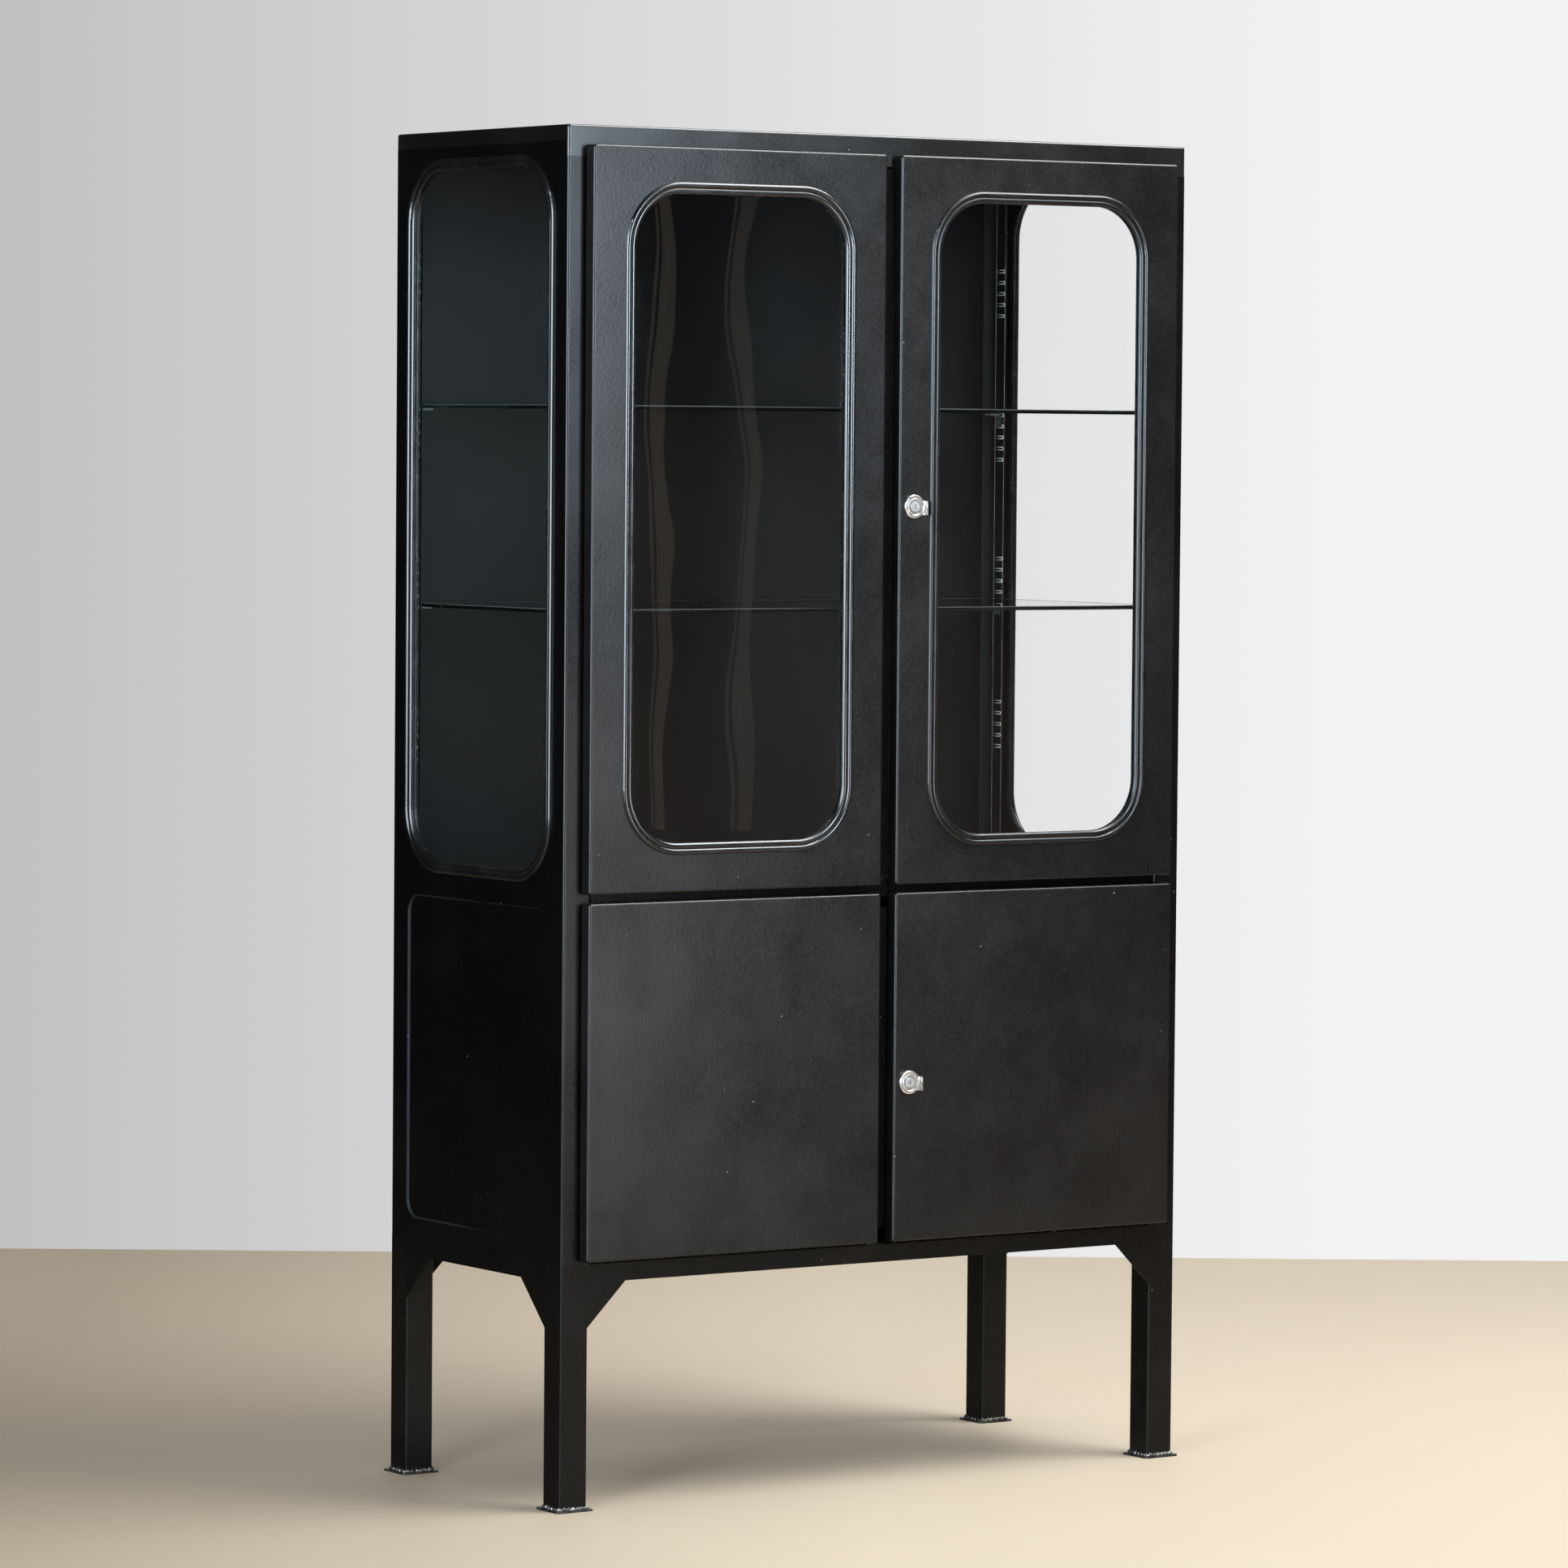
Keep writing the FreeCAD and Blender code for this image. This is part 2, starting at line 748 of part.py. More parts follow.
def lock_bezel(level):
    # A six-sided ring with a rounded rim, dished towards the lock
    bore = lock_body_radius + snug
    crown = bezel_radius - bezel_crown_width

    def at(radius, height):
        return Vector(lock_x + radius, bezel_rear - height, level)

    rise = (bezel_height - bezel_rim) * bezel_bulge_share
    bulge = at(crown + bezel_crown_width * bezel_bulge_share, bezel_rim + rise)
    rim = Part.Arc(at(bezel_radius, bezel_rim), bulge, at(crown, bezel_height)).toShape()
    inside = [
        at(crown, bezel_height), at(crown - bezel_land, bezel_height),
        at(lock_head_radius + snug, lock_head_seat), at(bore, lock_head_seat),
        at(bore, 0), at(bezel_radius, 0), at(bezel_radius, bezel_rim),
    ]
    lines = [Part.makeLine(a, b) for a, b in zip(inside, inside[1:])]
    section = Part.Face(Part.Wire([rim] + lines))
    ring = section.revolve(Vector(lock_x, 0, level), Vector(0, 1, 0), 360)
    shaped = ring.common(hexagon(bezel_hex_radius, bezel_front - overrun, bezel_rear + overrun, level))
    flat = bezel_hex_radius * math.sqrt(3) / 2
    notch = block(
        lock_x, lock_x + bezel_notch_width, bezel_front - overrun, bezel_rear - bezel_rim / 2,
        level + flat - bezel_notch_depth, level + flat + overrun,
    )
    return shaped.cut(notch)


def lock_body(level):
    seat = bezel_rear - lock_head_seat
    rear = door_rear - lock_body_rear_gap
    barrel = across(lock_body_radius, seat, rear, level)
    head = across(lock_head_radius, seat - lock_head, seat, level)
    bore = across(plug_radius + plug_fit, plug_front - overrun, rear + overrun, level)
    return joined([barrel, head]).cut(bore)


def lock_nut(level):
    front = door_front + sheet
    nut = hexagon(lock_nut_radius, front, front + lock_nut_height, level)
    return nut.cut(across(lock_body_radius, front - overrun, front + lock_nut_height + overrun, level))


def lock_plug(level):
    plug = across(plug_radius, plug_front, cam_front, level)
    half = key_slot_width / 2
    rise = key_slot_height / 2
    slot = block(
        lock_x - half, lock_x + half, plug_front - overrun, plug_front + key_slot_depth,
        level - rise, level + rise,
    )
    thread = across(cam_screw_radius, cam_front - cam_screw_length, cam_front + overrun, level)
    return plug.cut([slot, thread])


def lock_cam(level):
    # The cam hangs down when the leaf is free and turns a quarter to lie behind the cover strip
    half = cam_width / 2
    rear = cam_front + cam_thickness
    arm = block(lock_x - half, lock_x + half, cam_front, rear, level - cam_length + half, level)
    hub = across(plug_radius, cam_front, rear, level)
    tip = across(half, cam_front, rear, level - cam_length + half)
    hole = across(cam_screw_radius, cam_front - overrun, rear + overrun, level)
    return joined([arm, hub, tip]).cut(hole)


def cam_screw(level):
    rear = cam_front + cam_thickness
    shank = across(cam_screw_radius, cam_front - cam_screw_length, rear, level)
    head = across(cam_screw_head_radius, rear, rear + cam_screw_head, level)
    return joined([shank, head])


def cover_strip(bottom, top):
    right = door_closing_edge - strip_reach_gap
    return block(right - strip_width, right, door_rear, strip_rear, bottom, top)


def bolt(tip, way):
    # A flat bar with a finger knob; way is +1 for a bolt that shoots upwards
    rear = bolt_front + bolt_thickness
    low, high = sorted((tip, tip - way * bolt_length))
    bar = block(bolt_x - bolt_width, bolt_x, bolt_front, rear, low, high)
    bar = bar.makeFillet(bolt_tip_radius, edges_in_plane(bar, "z", tip))
    seat = Vector(bolt_x - bolt_width / 2, rear, (low + high) / 2)
    return joined([bar, rod(seat, Vector(0, 1, 0), bolt_knob_radius, bolt_knob_length)])


def bolt_guides(tip, way):
    # Two square sleeves on the cover strip that hold one bolt
    outer = guide_wall + snug
    guides = []
    for share in (0, 1):
        near = guide_inset + share * (bolt_length - guide_inset * 2 - guide_height)
        low, high = sorted((tip - way * near, tip - way * (near + guide_height)))
        sleeve = block(
            bolt_x - bolt_width - outer, bolt_x + outer, strip_rear,
            bolt_front + bolt_thickness + outer, low, high,
        )
        way_through = block(
            bolt_x - bolt_width - snug, bolt_x + snug, bolt_front - snug,
            bolt_front + bolt_thickness + snug, low - overrun, high + overrun,
        )
        guides.append(sleeve.cut(way_through))
    return guides


def build_carcass():
    keep("top_panel", top_panel())
    keep("upper_floor", upper_floor())
    keep("lower_floor", lower_floor())
    keep("back_panel", back_panel())
    panel = side_panel_left()
    hole, rubber, glass = glazing("side", *side_window_bounds(), -half_width, -1)
    panel = panel.cut(hole)
    for name, shape in (("side_panel", panel), ("side_gasket", rubber), ("side_glass", glass)):
        keep(name + "_left", shape)
        keep(name + "_right", mirrored_x(shape))
    feet = []
    for y_sign, depth_word in ((-1, "front"), (1, "rear")):
        for x_sign, side_word in ((-1, "left"), (1, "right")):
            keep(f"leg_{depth_word}_{side_word}", leg_tube(x_sign, y_sign))
            feet.append(foot(x_sign, y_sign))
    keep("foot_plates", Part.makeCompound(feet))


def build_shelves():
    upright = shelf_upright(upper_floor_top, upper_upright_height, upper_group_middle, group_count)
    corners = ("rear_right", "front_right", "rear_left", "front_left")
    for place_word, shape in zip(corners, in_four_corners(upright)):
        keep(f"shelf_upright_{place_word}", shape)
    places = (
        ("upper", upper_shelf_group_count, upper_shelf_slot_count),
        ("lower", lower_shelf_group_count, lower_shelf_slot_count),
    )
    for word, group, slot in places:
        level = slot_level(upper_group_middle, group, slot)
        keep(f"{word}_glass_shelf_clips", shelf_clips(level))
        keep(f"{word}_glass_shelf", glass_shelf(level))
    short_upright = shelf_upright(floor_top, lower_upright_height, lower_group_middle, lower_group_count)
    level = slot_level(lower_group_middle, steel_shelf_group_count, steel_shelf_slot_count)
    keep("steel_shelf_uprights", Part.makeCompound(in_four_corners(short_upright)))
    keep("steel_shelf_clips", shelf_clips(level))
    keep("steel_shelf", steel_shelf(level))


def build_hinges(bottom, top, sill, head):
    for level in hinge_levels(bottom, top, sill, head):
        arm = hinge_arm(*level)
        pin = hinge_pin(*level, bottom, top)
        hinge_arms.extend([arm, mirrored_x(arm)])
        hinge_pins.extend([pin, mirrored_x(pin)])


def build_lock(word, level):
    keep(f"{word}_finger_pull", finger_pull(level))
    keep(f"{word}_lock_bezel", lock_bezel(level))
    keep(f"{word}_lock_body", lock_body(level))
    keep(f"{word}_lock_nut", lock_nut(level))
    keep(f"{word}_lock_plug", lock_plug(level))
    keep(f"{word}_lock_cam", lock_cam(level))
    keep(f"{word}_cam_screw", cam_screw(level))


def build_bolts(word, sill, head):
    tips = (("top", head - bolt_rest_gap, 1), ("bottom", sill + bolt_rest_gap, -1))
    guides = []
    for end, tip, way in tips:
        keep(f"{word}_{end}_bolt", bolt(tip, way))
        guides += bolt_guides(tip, way)
    keep(f"{word}_bolt_guides", Part.makeCompound(guides))


def build_upper_doors():
    bottom, top = upper_door_bottom, upper_door_top
    pan = door_pan(bottom, top)
    hole, rubber, glass = glazing("front", *door_window_bounds(bottom, top), door_front, -1)
    pan = pan.cut(hole)
    keep("upper_left_door", mirrored_x(pan))
    keep("upper_right_door", pan.cut(lock_hole(upper_lock_level)))
    keep("upper_right_gasket", rubber)
    keep("upper_right_glass", glass)
    keep("upper_left_gasket", mirrored_x(rubber))
    keep("upper_left_glass", mirrored_x(glass))
    keep("upper_cover_strip", cover_strip(bottom + upper_strip_bottom_gap, top - upper_strip_top_gap))
    build_hinges(bottom, top, upper_floor_top, top_rail_bottom)


def build_lower_doors():
    bottom, top = lower_door_bottom, lower_door_top
    pan = door_pan(bottom, top)
    keep("lower_left_door", mirrored_x(pan))
    keep("lower_right_door", pan.cut(lock_hole(lower_lock_level)))
    keep("lower_cover_strip", cover_strip(bottom + lower_strip_bottom_gap, top - lower_strip_top_gap))
    build_hinges(bottom, top, floor_top, middle_rail_bottom)


def main():
    build_carcass()
    build_shelves()
    build_upper_doors()
    build_lower_doors()
    keep("hinge_arms", Part.makeCompound(hinge_arms))
    keep("hinge_pins", Part.makeCompound(hinge_pins))
    build_lock("upper", upper_lock_level)
    build_lock("lower", lower_lock_level)
    build_bolts("upper", upper_floor_top, top_rail_bottom)
    build_bolts("lower", floor_top, middle_rail_bottom)
    os.makedirs("parts", exist_ok=True)
    for name, shape in nodes.items():
        placed = shape.copy()
        placed.translate(origin_shift)
        placed.exportStep(f"parts/{name}.step")
        print(name, len(placed.Solids), placed.isValid(), round(placed.Volume))
    print(len(nodes), "nodes")


main()
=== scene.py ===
import bpy
import math
import numpy as np
from mathutils import Matrix, Vector


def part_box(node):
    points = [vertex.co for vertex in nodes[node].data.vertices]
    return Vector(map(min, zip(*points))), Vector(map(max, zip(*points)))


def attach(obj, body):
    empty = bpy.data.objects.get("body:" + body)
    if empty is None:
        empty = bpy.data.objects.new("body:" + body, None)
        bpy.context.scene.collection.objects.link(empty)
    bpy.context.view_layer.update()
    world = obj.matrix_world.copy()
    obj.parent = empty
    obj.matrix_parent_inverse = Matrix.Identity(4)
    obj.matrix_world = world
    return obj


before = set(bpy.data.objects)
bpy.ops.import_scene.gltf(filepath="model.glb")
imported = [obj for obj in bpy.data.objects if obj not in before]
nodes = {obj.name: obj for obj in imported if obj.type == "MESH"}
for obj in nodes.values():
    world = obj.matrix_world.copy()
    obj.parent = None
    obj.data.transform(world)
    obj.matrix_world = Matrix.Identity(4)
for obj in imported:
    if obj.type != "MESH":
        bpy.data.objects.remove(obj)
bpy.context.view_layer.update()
print("stage: part loaded,", len(nodes), "nodes")

noiseSpan = (0.3, 0.7)    # most values of a noise lie in here
wholeSpan = (0.0, 1.0)


# Node helpers: every finish is built from these few calls.
def newMaterial(name):
    material = bpy.data.materials.new(name)
    material.use_nodes = True
    tree = material.node_tree
    return material, tree, tree.nodes["Principled BSDF"]


def addNode(tree, kind, **settings):
    node = tree.nodes.new(kind)
    for key, value in settings.items():
        setattr(node, key, value)
    return node


def objectPlace(tree):
    return addNode(tree, "ShaderNodeTexCoord").outputs["Object"]


def addNoise(tree, where, pattern):    # the pattern is scale, detail and roughness
    noise = addNode(tree, "ShaderNodeTexNoise")
    for label, value in zip(("Scale", "Detail", "Roughness"), pattern):
        noise.inputs[label].default_value = value
    tree.links.new(where, noise.inputs["Vector"])
    return noise.outputs["Fac"]


def addRange(tree, value, fromSpan, toSpan=wholeSpan):
    ranged = addNode(tree, "ShaderNodeMapRange")
    labels = ("From Min", "From Max", "To Min", "To Max")
    for label, bound in zip(labels, (*fromSpan, *toSpan)):
        ranged.inputs[label].default_value = bound
    tree.links.new(value, ranged.inputs["Value"])
    return ranged.outputs["Result"]


def addBlend(tree, share, first, second):
    blend = addNode(tree, "ShaderNodeMix", data_type="RGBA")
    tree.links.new(share, blend.inputs["Factor"])
    for socket, value in ((blend.inputs["A"], first), (blend.inputs["B"], second)):
        if isinstance(value, tuple):
            socket.default_value = (*value, 1.0)
        else:
            tree.links.new(value, socket)
    return blend.outputs["Result"]


def addMath(tree, operation, first, second=0.0):
    step = addNode(tree, "ShaderNodeMath", operation=operation)
    for socket, value in zip(step.inputs, (first, second)):
        if isinstance(value, float):
            socket.default_value = value
        else:
            tree.links.new(value, socket)
    return step.outputs[0]


def addSplit(tree, vector):
    parts = addNode(tree, "ShaderNodeSeparateXYZ")
    tree.links.new(vector, parts.inputs[0])
    return parts.outputs


def addFacing(tree, vector, direction):    # how far a vector runs along a direction
    product = addNode(tree, "ShaderNodeVectorMath", operation="DOT_PRODUCT")
    product.inputs[1].default_value = direction
    tree.links.new(vector, product.inputs[0])
    return product.outputs["Value"]


def addBump(tree, shader, height, strength, depth, under=None):
    bump = addNode(tree, "ShaderNodeBump")
    bump.inputs["Strength"].default_value = strength
    bump.inputs["Distance"].default_value = depth
    tree.links.new(height, bump.inputs["Height"])
    if under:
        tree.links.new(under, bump.inputs["Normal"])
    tree.links.new(bump.outputs["Normal"], shader.inputs["Normal"])
    return bump.outputs["Normal"]


# Effects: node groups that take the place on the piece and one amount, and give one result.
def newEffect(name, amount, result):
    group = bpy.data.node_groups.new(name, "ShaderNodeTree")
    group.interface.new_socket("Where", in_out="INPUT", socket_type="NodeSocketVector")
    group.interface.new_socket(amount, in_out="INPUT", socket_type="NodeSocketFloat")
    group.interface.new_socket(result, in_out="OUTPUT", socket_type="NodeSocketFloat")
    start = addNode(group, "NodeGroupInput")
    end = addNode(group, "NodeGroupOutput")
    return group, start.outputs["Where"], start.outputs[amount], end.inputs[result]


def useEffect(tree, group, where, amount):
    node = addNode(tree, "ShaderNodeGroup", node_tree=group)
    tree.links.new(where, node.inputs[0])
    node.inputs[1].default_value = amount
    return node.outputs[0]


# Orange peel: the fine leathery skin of sprayed paint, a height for the bump.
peelShape = {"detail": 2.0}


def makePeel(look):
    group, where, scale, height = newEffect("orangePeel", "Scale", "Height")
    fine = addNode(group, "ShaderNodeTexNoise")
    fine.inputs["Detail"].default_value = look["detail"]
    cells = addNode(group, "ShaderNodeTexVoronoi", feature="SMOOTH_F1")
    for node in (fine, cells):
        group.links.new(where, node.inputs["Vector"])
        group.links.new(scale, node.inputs["Scale"])
    group.links.new(addMath(group, "ADD", fine.outputs["Fac"], cells.outputs["Distance"]), height)
    return group


# Sheet wave: the slow swells of thin rolled sheet or drawn glass, a height for the bump.
waveShape = {"detail": 1.0}


def makeWave(look):
    group, where, scale, height = newEffect("sheetWave", "Scale", "Height")
    swell = addNode(group, "ShaderNodeTexNoise")
    swell.inputs["Detail"].default_value = look["detail"]
    group.links.new(where, swell.inputs["Vector"])
    group.links.new(scale, swell.inputs["Scale"])
    group.links.new(swell.outputs["Fac"], height)
    return group


# Paint chips: small pale flecks where the paint is knocked off, a share from 0 to 1.
chipShape = {"seedScale": 30.0, "ragged": (420.0, 3.0, 0.55), "raggedReach": (-0.025, 0.025),
             "rim": (0.0, 0.01)}


def makeChips(look):
    group, where, reach, share = newEffect("paintChips", "Reach", "Share")
    seeds = addNode(group, "ShaderNodeTexVoronoi")
    seeds.inputs["Scale"].default_value = look["seedScale"]
    group.links.new(where, seeds.inputs["Vector"])
    ragged = addRange(group, addNoise(group, where, look["ragged"]), noiseSpan, look["raggedReach"])
    distance = addMath(group, "ADD", seeds.outputs["Distance"], ragged)
    inside = addMath(group, "SUBTRACT", reach, distance)
    group.links.new(addRange(group, inside, look["rim"]), share)
    return group


# Smudges: wide faint patches left by hands and cleaning, a share from 0 to 1.
smudgeShape = {"patches": (7.0, 6.0, 0.62), "patchSpan": (0.52, 0.78)}


def makeSmudges(look):
    group, where, most, share = newEffect("smudges", "Most", "Share")
    wide = addRange(group, addNoise(group, where, look["patches"]), look["patchSpan"])
    group.links.new(addMath(group, "MULTIPLY", wide, most), share)
    return group


# Painted glint on level faces: the share of a pale bare-metal tone on faces that look straight up or down,
# such as slot edges, that stands in for the light they catch.
slotGlintShape = {"levelSpan": (0.55, 0.8), "broken": (240.0, 3.0, 0.55), "brokenSpan": (0.3, 0.6),
               "brokenShare": (0.55, 1.0)}


def makeSlotGlint(look):
    group, where, most, share = newEffect("rubbedEnds", "Most", "Share")
    upright = addSplit(group, addNode(group, "ShaderNodeNewGeometry").outputs["Normal"])["Z"]
    level = addRange(group, addMath(group, "ABSOLUTE", upright), look["levelSpan"])
    broken = addRange(group, addNoise(group, where, look["broken"]), look["brokenSpan"], look["brokenShare"])
    rubbed = addMath(group, "MULTIPLY", level, broken)
    group.links.new(addMath(group, "MULTIPLY", rubbed, most), share)
    return group


# Dust: a thin pale film that lies on faces turned upwards, broken up by a soft noise.
dustShape = {"upwardSpan": (0.2, 1.0), "broken": (22.0, 6.0, 0.55), "brokenSpan": (0.35, 0.7),
             "brokenShare": (0.2, 1.0)}


def makeDust(look):
    group, where, most, share = newEffect("dustFilm", "Most", "Share")
    upright = addSplit(group, addNode(group, "ShaderNodeNewGeometry").outputs["Normal"])["Z"]
    upward = addRange(group, upright, look["upwardSpan"])
    broken = addRange(group, addNoise(group, where, look["broken"]), look["brokenSpan"], look["brokenShare"])
    film = addMath(group, "MULTIPLY", upward, broken)
    group.links.new(addMath(group, "MULTIPLY", film, most), share)
    return group


peelGroup = makePeel(peelShape)
waveGroup = makeWave(waveShape)
chipGroup = makeChips(chipShape)
smudgeGroup = makeSmudges(smudgeShape)
slotGlintGroup = makeSlotGlint(slotGlintShape)
dustGroup = makeDust(dustShape)
finishes = {}
print("stage: effects made")

# Satin black paint: a cloudy warm tint, uneven sheen, orange peel, smudges, chips and a little dust.
carcassLook = {"cloud": (3.2, 5.0, 0.55), "cool": (0.0028, 0.0028, 0.0030), "warm": (0.0052, 0.0044, 0.0036),
               "smudge": 0.25, "smudgeTone": (0.035, 0.034, 0.033), "dust": 0.05,
               "dustTone": (0.30, 0.28, 0.25), "chipReach": 0.022, "chipTone": (0.42, 0.40, 0.37),
               "rubbed": 0.0, "bareTone": (0.62, 0.61, 0.58), "streaks": (9.0, 6.0, 0.65), "smooth": 0.24,
               "dull": 0.32, "grains": (330.0, 3.0, 0.7), "grain": 0.03, "gloss": 0.3, "peelScale": 260.0,
               "peel": 0.08, "peelDepth": 0.0004, "waveScale": 6.0, "wave": 0.25, "waveDepth": 0.006}
doorLook = {**carcassLook, "cloud": (2.1, 5.0, 0.55), "cool": (0.0030, 0.0029, 0.0034),
            "warm": (0.0088, 0.0068, 0.0060), "smudge": 0.35, "chipReach": 0.024, "smooth": 0.31,
            "dull": 0.43, "gloss": 0.5, "peel": 0.24, "grain": 0.05, "wave": 0.5}
# painted shade inside the cabinet: a darker copy of the paint for the back panel, the steel shelf and the
# uprights
insideShadeLook = {**carcassLook, "cool": (0.0013, 0.0012, 0.0012), "warm": (0.0030, 0.0022, 0.0017),
              "smooth": 0.40, "dull": 0.50, "gloss": 0.15, "smudge": 0.10, "chipReach": 0.0, "peel": 0.02,
              "wave": 0.06}
paintLooks = {
    "carcassPaint": carcassLook,
    "railPaint": {**carcassLook, "gloss": 0.6, "smooth": 0.30, "dull": 0.38},
    # painted shade in the gaps between the doors: a darker copy for the middle floor and the cover strips
    "gapShadePaint": {**carcassLook, "cool": (0.0014, 0.0014, 0.0015), "warm": (0.0026, 0.0022, 0.0018),
                 "gloss": 0.16, "smudge": 0.12, "wave": 0.06},
    # painted shade: a darker copy of the carcass paint for the side panels
    "shadedSidePaint": {**carcassLook, "cool": (0.0012, 0.0012, 0.0013), "warm": (0.0022, 0.0019, 0.0016),
                  "smudge": 0.10, "gloss": 0.38, "smooth": 0.26, "dull": 0.34, "peel": 0.05, "wave": 0.12,
                  "rearDull": (0.0, 0.40), "bendSpan": (0.995, 0.93), "rearSpan": (0.0, 0.05)},
    "doorPaint": doorLook,
    "upperDoorPaint": {**doorLook, "gloss": 0.42},
    "insideShadePaint": insideShadeLook,
    # the uprights also carry the painted glint on their level faces, such as slot edges
    "uprightPaint": {**insideShadeLook, "rubbed": 1.0},
}


def makePaint(name, look):
    material, tree, shader = newMaterial(name)
    where = objectPlace(tree)
    cloud = addRange(tree, addNoise(tree, where, look["cloud"]), noiseSpan)
    tone = addBlend(tree, cloud, look["cool"], look["warm"])
    # the last layer is the painted glint on level faces
    layers = ((smudgeGroup, "smudge", "smudgeTone"), (dustGroup, "dust", "dustTone"),
              (chipGroup, "chipReach", "chipTone"), (slotGlintGroup, "rubbed", "bareTone"))
    for group, amount, layerTone in layers:
        tone = addBlend(tree, useEffect(tree, group, where, look[amount]), tone, look[layerTone])
    tree.links.new(tone, shader.inputs["Base Color"])
    streaks = addNoise(tree, where, look["streaks"])
    grains = addNoise(tree, where, look["grains"])
    sheen = addMath(tree, "ADD", addRange(tree, streaks, noiseSpan, (look["smooth"], look["dull"])),
                    addRange(tree, grains, noiseSpan, (-look["grain"], look["grain"])))
    if "rearDull" in look:    # the rear bends of the pressed field are duller than its flat
        turned = addSplit(tree, addNode(tree, "ShaderNodeTexCoord").outputs["Normal"])["X"]
        bent = addRange(tree, addMath(tree, "ABSOLUTE", turned), look["bendSpan"], look["rearDull"])
        rear = addRange(tree, addSplit(tree, where)["Y"], look["rearSpan"])
        sheen = addMath(tree, "ADD", sheen, addMath(tree, "MULTIPLY", bent, rear))
    tree.links.new(sheen, shader.inputs["Roughness"])
    shader.inputs["Specular IOR Level"].default_value = look["gloss"]
    swell = useEffect(tree, waveGroup, where, look["waveScale"])
    waved = addBump(tree, shader, swell, look["wave"], look["waveDepth"])
    peel = useEffect(tree, peelGroup, where, look["peelScale"])
    addBump(tree, shader, peel, look["peel"], look["peelDepth"], waved)
    return material


for name, look in paintLooks.items():
    finishes[name] = makePaint(name, look)

# Black rubber: a glossy skin with a grey bloom, slightly lumpy.
rubberLook = {"cloud": (30.0, 2.0, 0.55), "bloomSpan": (0.35, 0.75), "dark": (0.006, 0.006, 0.0065),
              "bloom": (0.013, 0.013, 0.014), "smooth": 0.20, "dull": 0.30, "gloss": 0.75,
              "lumps": (16.0, 0.0, 0.55), "lump": 0.03, "lumpDepth": 0.002}
rubberLooks = {
    "glazingRubber": rubberLook,
    "wornRubber": {**rubberLook, "smooth": 0.26, "dull": 0.38, "gloss": 0.5},
}


def makeRubber(name, look):
    material, tree, shader = newMaterial(name)
    where = objectPlace(tree)
    cloud = addNoise(tree, where, look["cloud"])
    bloom = addRange(tree, cloud, look["bloomSpan"])
    tree.links.new(addBlend(tree, bloom, look["dark"], look["bloom"]), shader.inputs["Base Color"])
    sheen = addRange(tree, cloud, noiseSpan, (look["smooth"], look["dull"]))
    tree.links.new(sheen, shader.inputs["Roughness"])
    shader.inputs["Specular IOR Level"].default_value = look["gloss"]
    addBump(tree, shader, addNoise(tree, where, look["lumps"]), look["lump"], look["lumpDepth"])
    return material


for name, look in rubberLooks.items():
    finishes[name] = makeRubber(name, look)

# Clear glass: real refraction for the eye, and open to the lamps so the inside is lit.
paneLook = {"bend": 1.45, "clear": (1.0, 1.0, 1.0), "tinted": (0.985, 0.992, 0.988),
            "smears": (9.0, 7.0, 0.6), "smearSpan": (0.55, 0.8), "smear": 0.02, "shade": (0.88, 0.90, 0.89),
            "edge": (0.55, 0.75, 0.68), "edgeSpan": (0.4, 0.8), "faceAxis": "Y", "waveScale": 4.0,
            "wave": 0.25, "waveDepth": 0.006}
glassLooks = {
    "windowGlass": paneLook,
    "sideWindowGlass": {**paneLook, "faceAxis": "X"},
    "shelfGlass": {**paneLook, "bend": 1.5, "clear": (0.95, 0.985, 0.97), "tinted": (0.90, 0.96, 0.93),
                   "smear": 0.04, "shade": (0.80, 0.86, 0.83), "edge": (0.012, 0.035, 0.028), "faceAxis": "Z",
                   "wave": 0.1},
}


def makeGlass(name, look):
    material, tree, shader = newMaterial(name)
    where = objectPlace(tree)
    shader.inputs["Transmission Weight"].default_value = 1.0
    shader.inputs["IOR"].default_value = look["bend"]
    smears = addNoise(tree, where, look["smears"])
    film = addBlend(tree, smears, look["clear"], look["tinted"])
    turned = addSplit(tree, addNode(tree, "ShaderNodeTexCoord").outputs["Normal"])[look["faceAxis"]]
    onFace = addRange(tree, addMath(tree, "ABSOLUTE", turned), look["edgeSpan"])
    tree.links.new(addBlend(tree, onFace, look["edge"], film), shader.inputs["Base Color"])
    sheen = addRange(tree, smears, look["smearSpan"], (0.0, look["smear"]))
    tree.links.new(sheen, shader.inputs["Roughness"])
    swell = useEffect(tree, waveGroup, where, look["waveScale"])
    addBump(tree, shader, swell, look["wave"], look["waveDepth"])
    passing = addNode(tree, "ShaderNodeBsdfTransparent")
    passing.inputs["Color"].default_value = (*look["shade"], 1.0)
    rays = addNode(tree, "ShaderNodeLightPath")
    mixed = addNode(tree, "ShaderNodeMixShader")
    tree.links.new(rays.outputs["Is Shadow Ray"], mixed.inputs["Fac"])
    tree.links.new(shader.outputs["BSDF"], mixed.inputs[1])
    tree.links.new(passing.outputs["BSDF"], mixed.inputs[2])
    tree.links.new(mixed.outputs["Shader"], tree.nodes["Material Output"].inputs["Surface"])
    return material


for name, look in glassLooks.items():
    finishes[name] = makeGlass(name, look)

